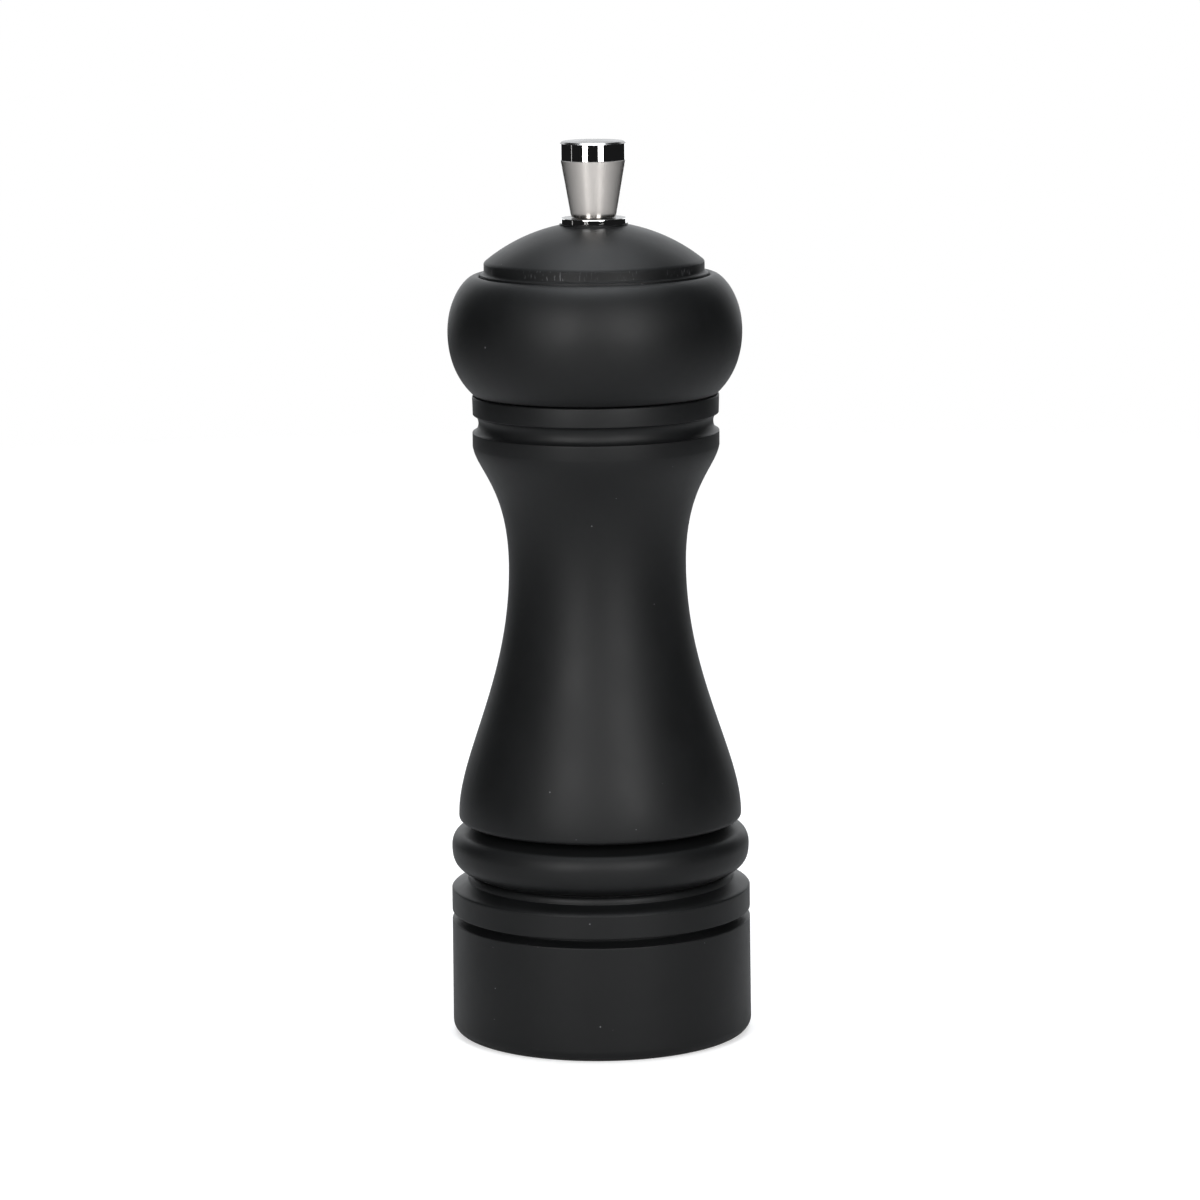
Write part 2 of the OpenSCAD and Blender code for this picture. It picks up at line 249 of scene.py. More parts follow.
def add_spun(bm, rows, turns, closed=False, centre=(0, 0), twist=0.0):
    """Adds rows of (radius, height, finish) turned round an upright axis.

    A radius may be a function of the turn and the height, and a 0 is a pole.
    """
    x, y = centre
    loops = []
    for row in rows:
        radius, height = row[0], row[1]
        if radius == 0:
            loops.append([bm.verts.new((x * MM, y * MM, height * MM))])
            continue
        loop = []
        for turn in turns:
            r = radius(turn, height) if callable(radius) else radius
            across, along = x + r * math.cos(turn + twist), y + r * math.sin(turn + twist)
            loop.append(bm.verts.new((across * MM, along * MM, height * MM)))
        loops.append(loop)
    pairs = list(zip(loops, loops[1:]))
    if closed:
        pairs.append((loops[-1], loops[0]))
    for k, (one, other) in enumerate(pairs):
        finish = rows[k][2] if len(rows[k]) > 2 else 0
        for i in range(len(turns)):
            j = (i + 1) % len(turns)
            corners = [one[i % len(one)], one[j % len(one)], other[j % len(other)], other[i % len(other)]]
            corners = list(dict.fromkeys(corners))
            if len(corners) > 2:
                bm.faces.new(corners).material_index = finish


def piece(name, bm, body, nodes, materials, sharp=32):
    """Makes the object, sets it to ride on its body and hides the nodes it stands for."""
    bmesh.ops.remove_doubles(bm, verts=bm.verts, dist=1e-7)
    bmesh.ops.dissolve_degenerate(bm, edges=bm.edges, dist=1e-8)
    bmesh.ops.recalc_face_normals(bm, faces=bm.faces)
    mesh = bpy.data.meshes.new(name)
    bm.to_mesh(mesh)
    bm.free()
    for material in materials:
        mesh.materials.append(material)
    mesh.shade_smooth()
    mesh.set_sharp_from_angle(angle=math.radians(sharp))
    obj = bpy.data.objects.new(name, mesh)
    bpy.context.scene.collection.objects.link(obj)
    if body:
        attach(obj, body)
    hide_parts(*nodes)
    return obj


def spun(name, rows, body, nodes, materials, steps=LATHE_STEPS, edge=0.2):
    """A piece turned from one closed outline."""
    bm = bmesh.new()
    add_spun(bm, soften(rows, edge), even_turns(steps), closed=True)
    return piece(name, bm, body, nodes, materials)


# ---- materials ----

class Look:
    """A node material under construction. Texture coordinates are the object's own, in millimetres."""

    def __init__(self, name):
        self.material = bpy.data.materials.new(name)
        self.material.use_nodes = True
        self.tree = self.material.node_tree
        self.tree.nodes.clear()
        self.out = self.tree.nodes.new("ShaderNodeOutputMaterial")
        self.shader = self.tree.nodes.new("ShaderNodeBsdfPrincipled")
        self.tree.links.new(self.shader.outputs[0], self.out.inputs[0])
        coordinates = self.tree.nodes.new("ShaderNodeTexCoord")
        self.place = self.vector("SCALE", coordinates.outputs["Object"], scale=1 / MM)

    def node(self, kind, inputs=None, **settings):
        made = self.tree.nodes.new(kind)
        for key, value in settings.items():
            setattr(made, key, value)
        for key, value in (inputs or {}).items():
            self.set(made.inputs[key], value)
        return made

    def set(self, socket, value):
        if isinstance(value, bpy.types.NodeSocket):
            self.tree.links.new(value, socket)
        else:
            socket.default_value = value

    def vector(self, operation, a, b=None, scale=None):
        inputs = {0: a}
        if b is not None:
            inputs[1] = b
        if scale is not None:
            inputs["Scale"] = scale
        return self.node("ShaderNodeVectorMath", inputs, operation=operation).outputs[0]

    def math(self, operation, a, b=None):
        inputs = {i: v for i, v in enumerate((a, b)) if v is not None}
        return self.node("ShaderNodeMath", inputs, operation=operation).outputs[0]

    def hypotenuse(self, a, b):
        squares = self.math("ADD", self.math("MULTIPLY", a, a), self.math("MULTIPLY", b, b))
        return self.math("SQRT", squares)

    def weigh(self, a, b, share_of_a):
        """Two heights or shades added in shares that come to 1."""
        return self.math("ADD", self.math("MULTIPLY", a, share_of_a),
                         self.math("MULTIPLY", b, 1 - share_of_a))

    def split(self):
        made = self.node("ShaderNodeSeparateXYZ", {0: self.place})
        return made.outputs[0], made.outputs[1], made.outputs[2]

    def join(self, x, y, z):
        return self.node("ShaderNodeCombineXYZ", {0: x, 1: y, 2: z}).outputs[0]

    def stretched(self, x, y, z):
        return self.vector("MULTIPLY", self.place, (x, y, z))

    def round_place(self):
        """(angle, radius, height) round Z, the angle in turns."""
        x, y, z = self.split()
        angle = self.math("DIVIDE", self.math("ARCTAN2", y, x), 2 * math.pi)
        return angle, self.hypotenuse(x, y), z

    def noise(self, place, scale, detail=2.0, rough=0.5):
        inputs = {"Vector": place, "Scale": scale, "Detail": detail, "Roughness": rough}
        return self.node("ShaderNodeTexNoise", inputs).outputs[0]

    def band(self, value, from_low, from_high, to_low=0.0, to_high=1.0):
        inputs = {0: value, 1: from_low, 2: from_high, 3: to_low, 4: to_high}
        return self.node("ShaderNodeMapRange", inputs, clamp=True).outputs[0]

    def mix(self, share, a, b):
        made = self.node("ShaderNodeMix", {0: share, 6: a, 7: b}, data_type="RGBA")
        return made.outputs[2]

    def bump(self, height, distance, strength=0.5):
        """A bump whose height runs from 0 to 1 over `distance` millimetres."""
        inputs = {"Height": height, "Distance": distance * MM, "Strength": strength}
        return self.node("ShaderNodeBump", inputs).outputs[0]

    def finish(self, **sockets):
        for key, value in sockets.items():
            self.set(self.shader.inputs[key.replace("_", " ")], value)
        return self.material


def grey(value, warm=0.0):
    return (value * (1 + warm), value, value * (1 - warm), 1.0)


def lacquer_look():
    """Satin black lacquer: soft orange peel, a trace of grain, specks of dust, nicks on the disc's wall."""
    look = Look("satin_black_lacquer")
    peel = look.noise(look.place, 0.9, 3.0)
    cloud = look.noise(look.place, 0.09, 3.0, 0.6)
    grain = look.noise(look.stretched(1.6, 1.6, 0.09), 1.0, 4.0, 0.6)
    speck_cell = look.node("ShaderNodeTexVoronoi", {"Vector": look.place, "Scale": 0.33, "Randomness": 1.0})
    speck_size = look.band(look.noise(look.place, 0.21, 1.0), 0.5, 0.8, 0.0, 0.075)
    speck = look.math("LESS_THAN", speck_cell.outputs["Distance"], speck_size)
    angle, _, height = look.round_place()
    fine_angle, fine_height = look.math("MULTIPLY", angle, 420), look.math("MULTIPLY", height, 0.5)
    nick_line = look.noise(look.join(fine_angle, 0.0, fine_height), 1.0)
    nick_zone = look.noise(look.join(look.math("MULTIPLY", angle, 14), 3.0, 0.0), 1.0)
    on_disc = look.math("MULTIPLY", look.band(height, DISC_FOOT_Z - 0.3, DISC_FOOT_Z),
                        look.band(height, DISC_RIM_Z - 0.2, DISC_RIM_Z + 0.1, 1.0, 0.0))
    lines = look.math("MULTIPLY", look.band(nick_line, 0.58, 0.68), look.band(nick_zone, 0.47, 0.58))
    nick = look.math("MULTIPLY", lines, on_disc)
    black = look.mix(cloud, (0.0024, 0.0026, 0.0028, 1), (0.0044, 0.0048, 0.0051, 1))
    light = look.math("MAXIMUM", look.math("MULTIPLY", speck, 0.6), look.math("MULTIPLY", nick, 0.5))
    colour = look.mix(light, black, (0.16, 0.16, 0.17, 1))
    rough = look.math("ADD", look.band(cloud, 0.3, 0.7, 0.46, 0.52), look.math("MULTIPLY", peel, 0.03))
    normal = look.bump(look.weigh(peel, grain, 0.7), 0.012)
    return look.finish(Base_Color=colour, Roughness=rough, Normal=normal, IOR=1.5, Specular_IOR_Level=0.235)


def beech_look():
    """Bare turned beech: growth rings, short ray flecks, tool marks, and black overspray near the mouths."""
    look = Look("bare_beech")
    x, y, z = look.split()
    warp = look.noise(look.stretched(0.12, 0.12, 0.012), 1.0, 3.0)
    from_pith = look.hypotenuse(look.math("ADD", x, 31.0), look.math("SUBTRACT", y, 17.0))
    warped = look.math("ADD", from_pith, look.math("MULTIPLY", warp, 7.0))
    rings = look.math("SINE", look.math("MULTIPLY", warped, 3.4))
    fibre = look.noise(look.stretched(6.0, 6.0, 0.25), 1.0, 4.0, 0.65)
    fleck = look.noise(look.stretched(2.2, 2.2, 0.55), 1.0, 1.0)
    pale = look.mix(look.band(rings, -1.0, 1.0), (0.46, 0.285, 0.15, 1), (0.56, 0.37, 0.215, 1))
    wood = look.mix(look.band(fleck, 0.62, 0.7, 0.0, 0.55), pale, (0.27, 0.145, 0.07, 1))
    wood = look.mix(look.math("MULTIPLY", fibre, 0.35), wood, (0.33, 0.19, 0.1, 1))
    mist = look.noise(look.place, 0.6, 4.0, 0.7)
    mouth = look.math("MAXIMUM", look.band(z, BODY_H - 3.2, BODY_H - 0.3),
                      look.band(z, 0.4, 4.5, 1.0, 0.0))
    sprayed = look.band(look.math("ADD", mouth, look.math("SUBTRACT", mist, 0.5)), 0.35, 0.75)
    colour = look.mix(sprayed, wood, (0.016, 0.016, 0.017, 1))
    marks = look.noise(look.join(0.0, 0.0, look.math("MULTIPLY", z, 2.6)), 1.0, 1.0)
    return look.finish(Base_Color=colour, Roughness=look.band(fibre, 0.3, 0.7, 0.55, 0.72),
                       Normal=look.bump(look.weigh(fibre, marks, 0.6), 0.08, 0.6))


def turned_metal(name, pale, dark, rough, lines, stain, anisotropy=0.0, depth=0.004, edge_tint=1.0):
    """Metal with marks that run round Z: `lines` per millimetre along the height and the radius.

    `stain` is the share of a cloudy mottle in the shade, and `edge_tint` dims what it reflects at a glance.
    """
    look = Look(name)
    angle, radius, height = look.round_place()
    cross = look.math("MULTIPLY", look.math("ADD", height, radius), lines)
    along = look.math("MULTIPLY", angle, 9.0)
    brush = look.noise(look.join(cross, along, 0.0), 1.0, 3.0, 0.6)
    cloud = look.noise(look.place, 0.35, 4.0, 0.6)
    shade = look.weigh(look.band(cloud, 0.35, 0.65), look.band(brush, 0.3, 0.7), stain)
    colour = look.mix(shade, dark, pale)
    roughness = look.band(look.math("ADD", brush, cloud), 0.7, 1.3, rough[0], rough[1])
    tangent = look.node("ShaderNodeTangent", direction_type="RADIAL", axis="Z").outputs[0]
    sockets = {"Base_Color": colour, "Roughness": roughness, "Metallic": 1.0,
               "Normal": look.bump(brush, depth), "Specular_Tint": grey(edge_tint)}
    if anisotropy:
        sockets.update(Anisotropic=anisotropy, Anisotropic_Rotation=0.25, Tangent=tangent)
    return look.finish(**sockets)


def drawn_metal(name, pale, dark, rough, lengthwise=(4.0, 4.0, 0.1), depth=0.01):
    """Metal with marks along one way, as rolled strip and drawn bar have, and a mottle over them."""
    look = Look(name)
    streak = look.noise(look.stretched(*lengthwise), 1.0, 4.0, 0.6)
    mottle = look.noise(look.place, 0.5, 4.0, 0.65)
    fine = look.noise(look.place, 5.0, 2.0)
    shade = look.weigh(streak, mottle, 0.5)
    colour = look.mix(look.band(shade, 0.35, 0.65), dark, pale)
    return look.finish(Base_Color=colour, Roughness=look.band(shade, 0.35, 0.65, rough[0], rough[1]),
                       Metallic=1.0, Normal=look.bump(look.weigh(streak, fine, 0.7), depth))


def burr_look():
    """Hardened burr steel: mottled dark oxide, bare bright crests and a fine grit all over."""
    look = Look("burr_steel")
    oxide = look.noise(look.place, 1.2, 5.0, 0.65)
    grit = look.noise(look.place, 2.6, 4.0, 0.7)
    crest = look.node("ShaderNodeNewGeometry").outputs["Pointiness"]
    dark = look.mix(look.band(oxide, 0.35, 0.65), (0.05, 0.05, 0.055, 1), (0.11, 0.108, 0.11, 1))
    colour = look.mix(look.band(crest, 0.52, 0.62), dark, (0.42, 0.42, 0.44, 1))
    return look.finish(Base_Color=colour, Roughness=look.band(grit, 0.3, 0.7, 0.32, 0.5), Metallic=1.0,
                       Normal=look.bump(grit, 0.02))


def acetal_look():
    """Off-white plastic, slightly soiled."""
    look = Look("natural_acetal")
    marks = look.noise(look.place, 1.5, 3.0)
    soil = look.noise(look.place, 0.4, 4.0, 0.6)
    colour = look.mix(look.band(soil, 0.4, 0.75), (0.76, 0.73, 0.65, 1), (0.62, 0.58, 0.49, 1))
    return look.finish(Base_Color=colour, Roughness=look.band(marks, 0.3, 0.7, 0.35, 0.48),
                       Normal=look.bump(marks, 0.01), Subsurface_Weight=0.15, Subsurface_Scale=0.001)


LACQUER = lacquer_look()
BEECH = beech_look()
POLISHED = turned_metal("polished_steel", grey(0.66, 0.01), grey(0.6, 0.01), rough=(0.02, 0.045),
                        lines=6.0, stain=0.6, depth=0.0005)
BRUSHED = turned_metal("brushed_steel", grey(0.68, 0.05), grey(0.55, 0.06), rough=(0.17, 0.24),
                       lines=9.0, stain=0.35, anisotropy=0.6, depth=0.001)
FACED = turned_metal("faced_steel", grey(0.52, 0.01), grey(0.4, 0.01), rough=(0.22, 0.3),
                     lines=7.0, stain=0.3, anisotropy=0.6, edge_tint=0.4)
BRASS = turned_metal("turned_brass", (0.68, 0.47, 0.2, 1), (0.5, 0.33, 0.13, 1), rough=(0.22, 0.34),
                     lines=5.0, stain=0.4)
BAR = drawn_metal("drawn_bar_steel", grey(0.55, 0.01), grey(0.38, 0.015), rough=(0.26, 0.4))
PLATED = drawn_metal("zinc_plated_steel", (0.56, 0.56, 0.57, 1), (0.42, 0.425, 0.44, 1),
                     rough=(0.3, 0.46), lengthwise=(0.7, 2.4, 0.7), depth=0.012)
SCREW = drawn_metal("plated_screw_steel", (0.6, 0.6, 0.6, 1), (0.44, 0.44, 0.45, 1),
                    rough=(0.25, 0.4), lengthwise=(1.5, 1.5, 1.5))
WIRE = drawn_metal("spring_wire", grey(0.42), grey(0.26), rough=(0.25, 0.38),
                   lengthwise=(3.0, 3.0, 3.0), depth=0.008)
BURR = burr_look()
ACETAL = acetal_look()


# ---- body and head ----

LACQUERED, BARE = 0, 1


def make_body():
    outside = finished(base_outline() + bead_outline() + flare_outline() + neck_outline(), LACQUERED)
    socket_z = BODY_H - SOCKET_D
    inside = finished([
        [SOCKET_R + 0.7, BODY_H], [SOCKET_R, BODY_H - 0.6], [SOCKET_R, BODY_H - 5], [SOCKET_R, socket_z],
        [SOCKET_R - 0.4, socket_z], [CHAMBER_R, socket_z - 2.5], [CHAMBER_R, 90], [CHAMBER_R, 60],
        [CHAMBER_R, LEDGE_Z], [HOUSING_BORE_R, LEDGE_Z], [HOUSING_BORE_R, OUTLET_D], [OUTLET_R, OUTLET_D],
        [OUTLET_R, 0.8]], BARE)
    foot = finished([[OUTLET_R + 0.8, 0]], LACQUERED)
    return spun("body_shell_turned", outside + inside + foot, "mill_body",
                ["body_shell"], [LACQUER, BEECH])


def make_head():
    tenon_r = SOCKET_R - JOINT_GAP
    tenon = finished([[HEAD_BORE_R, TENON_Z], [tenon_r - 0.7, TENON_Z], [tenon_r, TENON_Z + 0.7],
                      [tenon_r, HEAD_Z], [NECK_R - 1.5, HEAD_Z]], BARE)
    outside = finished([[NECK_R - 0.2, HEAD_Z]] + bulge_outline() + dome_outline()
                       + [[KNOB_R + 0.3, COLLAR_Z]], LACQUERED)
    bore = finished([[SLEEVE_BORE_R, COLLAR_Z], [SLEEVE_BORE_R, COLLAR_FOOT - 0.5],
                     [HEAD_BORE_R, COLLAR_FOOT - 0.5]], BARE)
    return spun("head_turned", tenon + outside + bore, "head_group", ["head"],
                [LACQUER, BEECH])


def make_collar():
    side, top = 0, 1
    sleeve_r, edge = SLEEVE_BORE_R - 0.05, 0.12
    rows = (finished([[THREAD_BORE_R, COLLAR_FOOT], [sleeve_r, COLLAR_FOOT], [sleeve_r, COLLAR_Z],
                      [KNOB_R - edge, COLLAR_Z], [KNOB_R, COLLAR_Z + edge],
                      [KNOB_R, COLLAR_TOP - edge]], side)
            + finished([[KNOB_R - edge, COLLAR_TOP], [THREAD_BORE_R, COLLAR_TOP]], top))
    return spun("collar_ring_turned", rows, "head_group", ["collar_ring"],
                [POLISHED, FACED], steps=METAL_STEPS, edge=0.03)


# ---- knob ----

def make_knob():
    taper, band, face = 0, 1, 2
    edge, cavity_r = 0.1, 2.8
    band_z = KNOB_TOP - KNOB_BAND_H
    rim_z = KNOB_TOP - KNOB_CROWN
    insert_top, cavity_top = SPINDLE_TOP + 0.3, SPINDLE_TOP + 1.6
    crown = bezier([KNOB_R - KNOB_BEVEL, rim_z], [4, KNOB_TOP - 0.02], [2, KNOB_TOP], [0, KNOB_TOP], 14)
    outside = (finished([[INSERT_SEAT_R, KNOB_Z], [KNOB_FOOT_R - edge, KNOB_Z],
                         [KNOB_FOOT_R, KNOB_Z + edge]], taper)
               + finished([[KNOB_R - edge, band_z - 0.05], [KNOB_R, band_z]], band)
               + finished([[KNOB_R, rim_z - KNOB_BEVEL]] + crown, face))
    inside = finished([[0, cavity_top], [cavity_r, cavity_top], [cavity_r, insert_top],
                       [INSERT_SEAT_R, insert_top], [INSERT_SEAT_R, KNOB_Z]], taper)
    bm = bmesh.new()
    add_spun(bm, soften(outside, 0.04, closed=False), even_turns(METAL_STEPS))
    add_spun(bm, soften(inside, 0.08, closed=False), even_turns(METAL_STEPS))
    return piece("knob_turned", bm, "knob_group", ["knob"], [BRUSHED, POLISHED, FACED])


# ---- thread, spindle and insert ----

def thread_cut(turn, height, pitch, flank=0.42):
    """Depth share, 0 to 1, of a V thread; `flank` is each flank's share of the pitch."""
    phase = (height / pitch - turn / (2 * math.pi)) % 1.0
    away = min(phase, 1 - phase)
    return max(0.0, 1 - away / flank)


def thread_rows(radius, foot, top, pitch, steps):
    """Rows of a thread from its foot to its top, `steps` to each turn of the thread."""
    count = round((top - foot) / pitch * steps)
    return [[radius, foot + (top - foot) * i / count] for i in range(count + 1)]


def square_turns():
    """Turns of a square bar: close together at the rounded corners, even along the flats."""
    reach = math.degrees(math.acos(SQUARE_W / 2 / SQUARE_CORNER_R))
    quarter = [-0.97 * reach, -36, -24, -12, 0, 12, 24, 36, 0.97 * reach, reach, 45, 90 - reach]
    return [math.radians(90 * k + a) for k in range(4) for a in quarter]


def square_radius(turn, height):
    return min(SQUARE_CORNER_R, SQUARE_W / 2 / max(abs(math.cos(turn)), abs(math.sin(turn))))


def make_spindle():
    """Journal with the clip's groove, square bar, and a threaded end whose cut fades in and out."""
    groove_low, groove_high, groove_r = CLIP_Z - 0.05, CLIP_Z + 0.75, JOURNAL_R - 0.5
    thread_low, thread_high = THREAD_Z + 1.5, SPINDLE_TOP - 1.2
    cut_depth, run_out = 0.35, 0.8

    def thread_radius(turn, height):
        fade_in, fade_out = (height - thread_low) / run_out, (thread_high - height) / run_out
        fade = min(1.0, max(0.0, fade_in), max(0.0, fade_out))
        return THREAD_R - cut_depth * fade * thread_cut(turn, height, THREAD_PITCH)

    journal = [[JOURNAL_R - 0.3, SPINDLE_FOOT], [JOURNAL_R, SPINDLE_FOOT + 0.3], [JOURNAL_R, groove_low],
               [groove_r, groove_low], [groove_r, groove_high], [JOURNAL_R, groove_high],
               [JOURNAL_R, SQUARE_FOOT]]
    rows = [[0, SPINDLE_FOOT]] + soften(journal, 0.08, closed=False)
    for height in (SQUARE_FOOT, SQUARE_FOOT + 0.2, 40, 80, 120, THREAD_Z - 0.2, THREAD_Z):
        rows.append([square_radius, height])
    rows.append([THREAD_R - 0.02, THREAD_Z + 0.01])
    rows += thread_rows(thread_radius, thread_low, thread_high, THREAD_PITCH, THREAD_STEPS)
    rows += [[THREAD_R - 0.01, SPINDLE_TOP - 1], [THREAD_R - 0.04, SPINDLE_TOP - 0.9],
             [THREAD_R - 0.56, SPINDLE_TOP - 0.06], [THREAD_R - 0.66, SPINDLE_TOP], [0, SPINDLE_TOP]]
    bm = bmesh.new()
    add_spun(bm, rows, square_turns())
    return piece("spindle_bar", bm, "spindle_group", ["spindle"], [BAR])


def make_knob_insert():
    chamfer, cut_depth = 0.2, 0.3
    foot, top = low("knob_insert").z, high("knob_insert").z

    def bore_radius(turn, height):
        return THREAD_BORE_R + cut_depth * thread_cut(turn, height, THREAD_PITCH)

    rows = thread_rows(bore_radius, foot + 0.7, top - 0.4, THREAD_PITCH, THREAD_STEPS)
    shell = [[THREAD_BORE_R + 0.35, top], [INSERT_R - chamfer, top], [INSERT_R, top - chamfer],
             [INSERT_R, foot + chamfer], [INSERT_R - chamfer, foot], [THREAD_BORE_R + 0.5, foot]]
    bm = bmesh.new()
    add_spun(bm, rows + shell, even_turns(64), closed=True)
    return piece("knob_insert_threaded", bm, "knob_group", ["knob_insert"], [BRASS])


# ---- spring ----

def make_spring():
    """A round wire coil, built here at one length; in the mill it closes up as the rotor rises, its lower
    end moving and its upper end staying.

    The share `dead` of its length at each end lies flat.
    """
    wire_r, coil_r, coils, dead = 0.4, 4.7, 6, 0.12
    per_coil, sides = 44, 12
    foot, top = low("grinder_spring").z + wire_r, high("grinder_spring").z - wire_r
    bm = bmesh.new()
    rings = []
    for i in range(coils * per_coil + 1):
        share = i / (coils * per_coil)
        turn = 2 * math.pi * coils * share
        rise = min(1.0, max(0.0, (share - dead) / (1 - 2 * dead)))
        height = foot + (top - foot) * rise
        ring = []
        for k in range(sides):
            a = 2 * math.pi * k / sides
            r = coil_r + wire_r * math.cos(a)
            ring.append(bm.verts.new((r * math.cos(turn) * MM, r * math.sin(turn) * MM,
                                      (height + wire_r * math.sin(a)) * MM)))
        rings.append(ring)
    for one, other in zip(rings, rings[1:]):
        for k in range(sides):
            j = (k + 1) % sides
            bm.faces.new((one[k], one[j], other[j], other[k]))
    bm.faces.new(rings[0])
    bm.faces.new(rings[-1])
    obj = piece("grinder_spring_wire", bm, None, ["grinder_spring"], [WIRE], sharp=50)
    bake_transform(obj)
    return obj


# ---- screws ----

def cross_radius(half_length, half_width, share=1.0):
    """The outline of a cross recess, as a radius for each turn."""
    def radius(turn, height):
        away = (turn + math.pi / 4) % (math.pi / 2) - math.pi / 4
        along = half_length / math.cos(away)
        across = half_width / max(1e-6, abs(math.sin(away)))
        return share * min(along, across)
    return radius


def cross_turns(half_length, half_width):
    """Turns that fall on the corners of a cross recess."""
    tip = math.atan2(half_width, half_length)
    corner = math.pi / 4
    quarter = [-0.5 * tip, 0.5 * tip, tip, 0.5 * (tip + corner), corner,
               1.5 * corner - 0.5 * tip, 2 * corner - tip]
    return [k * math.pi / 2 + a for k in range(4) for a in quarter]


def add_screw(bm, head, shank, face_z, recess, centre, twist):
    """A screw with its head at the bottom: `head` runs from the face's rim to the shank, `shank` to the tip.

    `recess` is the cross recess's half length, half width and depth.
    """
    length, width, depth = recess
    hollow = [[0, face_z + depth], [cross_radius(length, width, 0.55), face_z + depth - 0.08],
              [cross_radius(length, width), face_z + 0.06],
              [cross_radius(length + 0.05, width + 0.05), face_z]]
    add_spun(bm, hollow + soften(head, 0.12, closed=False) + shank, cross_turns(length, width),
             centre=centre, twist=twist)


def screw_crown(radius, face_z, corner=0.9):
    return arc([radius - corner, face_z + corner], corner, -90, 0, 6)


def shank_rows(core, crest, pitch, foot, top):
    """Rows of a screw's shank, with a thread that stands up from its core."""
    def radius(turn, height):
        return core + (crest - core) * thread_cut(turn, height, pitch, 0.3)
    return [[core, foot - 0.05]] + thread_rows(radius, foot, top, pitch, 9)


def ring_places(radius, count):
    for turn in even_turns(count):
        yield (radius * math.cos(turn), radius * math.sin(turn)), turn


def make_housing_screws():
    """Three pan-head wood screws up through the flange."""
    bm = bmesh.new()
    z = FLANGE_Z
    head_r, neck_r, face_z = 2.7, 1.4, z - 1.7
    head = screw_crown(head_r, face_z) + [[head_r, z], [neck_r, z], [neck_r, z + 1.1]]
    for centre, turn in ring_places(SCREW_CIRCLE, 3):
        shank = shank_rows(1.05, 1.4, 1.0, z + 1.2, z + 8.6) + [[0.5, z + 9.3], [0, z + 9.8]]
        add_screw(bm, head, shank, face_z, (1.5, 0.3, 1.0), centre, turn * 1.7 + 0.4)
    return piece("housing_screws_crossed", bm, "mill_body", ["housing_screws"], [SCREW])


def make_bridge_screws():
    """Two pan-head machine screws up through the strap."""
    bm = bmesh.new()
    z = low("lower_bridge").z
    head_r, neck_r, face_z = 2.3, 1.25, z - 1.3
    head = screw_crown(head_r, face_z) + [[head_r, z], [neck_r, z], [neck_r, z + 0.25]]
    for side in (-1, 1):
        shank = shank_rows(1.05, 1.25, 0.45, z + 0.3, z + 2.7) + [[0.9, z + 2.9], [0, z + 2.9]]
        add_screw(bm, head, shank, face_z, (1.25, 0.28, 0.9), (0, side * STRAP_SCREW_Y), 0.3 + 0.9 * side)
    return piece("bridge_screws_crossed", bm, "mill_body", ["bridge_screws"], [SCREW])


def make_plate_screws():
    """Three small countersunk wood screws up through the drive plate."""
    bm = bmesh.new()
    z = low("drive_plate").z
    head = [[2.05, z], [2.15, z + 0.04], [1, z + 1.15], [0.98, z + 1.3]]
    for centre, turn in ring_places(PLATE_SCREW_CIRCLE, 3):
        shank = shank_rows(0.75, 1.0, 0.8, z + 1.4, z + 8) + [[0.4, z + 8.9], [0, z + 9.4]]
        add_screw(bm, head, shank, z, (1.1, 0.25, 0.7), centre, turn * 2.3 + 0.2)
    return piece("drive_plate_screws_crossed", bm, "head_group",
                 ["drive_plate_screws"], [SCREW])


make_body()
make_head()
make_collar()
make_knob()
make_spindle()
make_knob_insert()
make_spring()
make_housing_screws()
make_bridge_screws()
make_plate_screws()


# ---- finishes of the nodes that keep their own shape ----

JOIN_WITHIN = 1e-6  # metres
BEVEL_FROM = 40  # degrees
# Each node's material and the width of its rounded edges in millimetres.
FINISHES = {
    "grinder_housing": (PLATED, 0.15), "stator": (BURR, 0.04), "upper_bridge": (PLATED, 0.12),
    "upper_bush": (ACETAL, 0.15), "lower_bridge": (PLATED, 0.15), "lower_bush": (ACETAL, 0.12),
    "thrust_washer": (BRASS, 0.1), "rotor": (BURR, 0.04), "spring_seat": (BRASS, 0.1),
    "rotor_washer": (PLATED, 0.1), "rotor_clip": (SCREW, 0.06), "drive_plate": (PLATED, 0.15),
}
for name, (material, edge) in FINISHES.items():
    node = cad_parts[name]
    node.data.materials.clear()
    node.data.materials.append(material)
    weld = node.modifiers.new("join_edges", "WELD")
    weld.merge_threshold = JOIN_WITHIN
    bevel = node.modifiers.new("round_edges", "BEVEL")
    bevel.limit_method = "ANGLE"
    bevel.angle_limit = math.radians(BEVEL_FROM)
    bevel.width = edge * MM
    bevel.segments = 3
    bevel.harden_normals = True


# ---- studio ----

def aim(obj, target):
    obj.rotation_euler = (Vector(target) - obj.location).to_track_quat("-Z", "Y").to_euler()


def area_lamp(name, place, target, size, radiance, tint):
    """A flat lamp that the camera doesn't see. Places and sizes in the studio are metres."""
    lamp = bpy.data.lights.new(name, "AREA")
    lamp.shape = "RECTANGLE"
    lamp.size, lamp.size_y = size
    lamp.energy = radiance * math.pi * lamp.size * lamp.size_y
    lamp.color = tint
    obj = bpy.data.objects.new(name, lamp)
    obj.location = place
    aim(obj, target)
    obj.visible_camera = False
    bpy.context.scene.collection.objects.link(obj)


def softbox(name, azimuth, distance, heights, width, radiance, tint=(1, 1, 1)):
    """An upright lamp at an azimuth in degrees from the camera's side, between two heights."""
    turn, middle = math.radians(azimuth), sum(heights) / 2
    area_lamp(name, (distance * math.sin(turn), -distance * math.cos(turn), middle), (0, 0, middle),
              (width, heights[1] - heights[0]), radiance, tint)


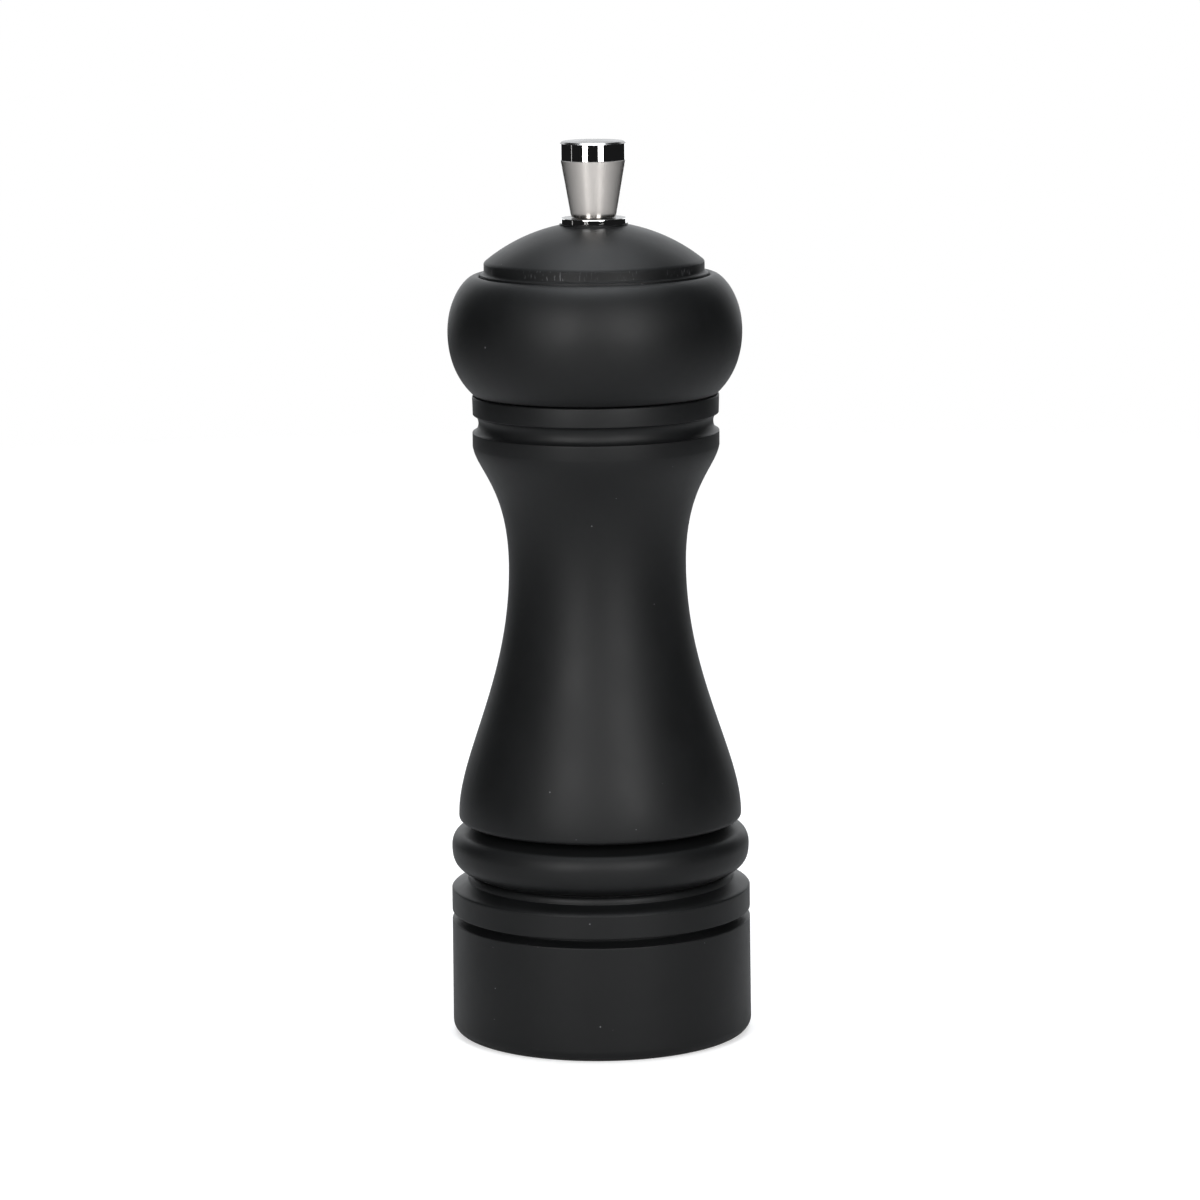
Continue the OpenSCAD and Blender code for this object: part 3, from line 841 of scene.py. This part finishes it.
def level_lamp(name, place, size, radiance, tint=(1, 1, 1)):
    """A square lamp above or below the mill, aimed at the middle of it."""
    area_lamp(name, place, (0, 0, 0.1), (size, size), radiance, tint)


def make_floor():
    """A pale table top, open under the foot and clear from below, so that the grinder can be seen.

    It fades out towards its rim. Its own light is seen by the camera and doesn't reach the mill.
    """
    hole_r, fade_from, fade_to, table_r = BASE_R - 2.5, 350.0, 950.0, 1000
    look = Look("pale_table")
    fleck = look.noise(look.place, 0.02, 3.0)
    colour = look.mix(fleck, (0.6, 0.6, 0.605, 1), (0.63, 0.63, 0.635, 1))
    seen = look.node("ShaderNodeLightPath").outputs["Is Camera Ray"]
    material = look.finish(Base_Color=colour, Roughness=0.7, Specular_IOR_Level=0.2,
                           Emission_Color=(1, 1, 1, 1), Emission_Strength=look.math("MULTIPLY", seen, 0.5))
    back = look.node("ShaderNodeNewGeometry").outputs["Backfacing"]
    _, radius, _ = look.round_place()
    gone = look.math("MAXIMUM", back, look.band(radius, fade_from, fade_to))
    clear = look.node("ShaderNodeBsdfTransparent")
    either = look.node("ShaderNodeMixShader", {0: gone, 1: look.shader.outputs[0], 2: clear.outputs[0]})
    look.tree.links.new(either.outputs[0], look.out.inputs[0])
    bm = bmesh.new()
    add_spun(bm, [[radius, 0] for radius in (hole_r, 60, 250, table_r)], even_turns(96))
    bm.normal_update()
    for face in bm.faces:
        if face.normal.z < 0:
            face.normal_flip()
    mesh = bpy.data.meshes.new("table_top")
    bm.to_mesh(mesh)
    bm.free()
    mesh.materials.append(material)
    obj = bpy.data.objects.new("table_top", mesh)
    bpy.context.scene.collection.objects.link(obj)


def make_world():
    """A pale backdrop for the camera and a dim room for everything else."""
    world = bpy.data.worlds.new("studio")
    bpy.context.scene.world = world
    world.use_nodes = True
    tree = world.node_tree
    tree.nodes.clear()
    out = tree.nodes.new("ShaderNodeOutputWorld")
    path = tree.nodes.new("ShaderNodeLightPath")
    mixed = tree.nodes.new("ShaderNodeMixShader")
    tree.links.new(path.outputs["Is Camera Ray"], mixed.inputs[0])
    room, backdrop = ((0.95, 0.97, 1.0, 1), 0.015), ((1, 1, 1, 1), 1.0)
    for slot, (colour, strength) in enumerate((room, backdrop), start=1):
        light = tree.nodes.new("ShaderNodeBackground")
        light.inputs["Color"].default_value = colour
        light.inputs["Strength"].default_value = strength
        tree.links.new(light.outputs[0], mixed.inputs[slot])
    tree.links.new(mixed.outputs[0], out.inputs[0])


def make_camera():
    """A long lens on a sensor 36 mm wide, a metre in front of the mill and looking slightly down."""
    pitch, roll = math.radians(9.35), math.radians(-0.64)
    camera = bpy.data.cameras.new("camera")
    camera.sensor_width = 36
    camera.lens = 151.8
    camera.shift_x = 0.0018
    camera.clip_start, camera.clip_end = 0.01, 20
    obj = bpy.data.objects.new("camera", camera)
    obj.location = (0, -1.0041, 0.25343)
    turned = Matrix.Rotation(math.radians(90) - pitch, 4, "X") @ Matrix.Rotation(roll, 4, "Z")
    obj.rotation_euler = turned.to_euler()
    bpy.context.scene.collection.objects.link(obj)
    bpy.context.scene.camera = obj


make_floor()
make_world()
for strip, azimuth in (("strip_left", -27.3), ("strip_right", 27.3)):
    softbox(strip, azimuth, distance=0.8, heights=(0.1, 0.85), width=0.24, radiance=10.5)
softbox("front_fill", 0, distance=0.8, heights=(0.26, 0.5), width=0.25, radiance=3.0)
softbox("seam_left", -80, distance=0.9, heights=(0.0, 0.6), width=0.02, radiance=1.5)
softbox("backdrop_light", 180, distance=1.6, heights=(0.0, 1.5), width=2.2, radiance=1.9,
        tint=(0.96, 0.98, 1.0))
level_lamp("top_light", (0, 0.1, 1.1), size=0.7, radiance=6.0, tint=(0.94, 0.97, 1.0))
level_lamp("under_light", (0.05, -0.35, -0.6), size=0.5, radiance=4.0)
make_camera()
bpy.context.scene.view_settings.view_transform = "Standard"
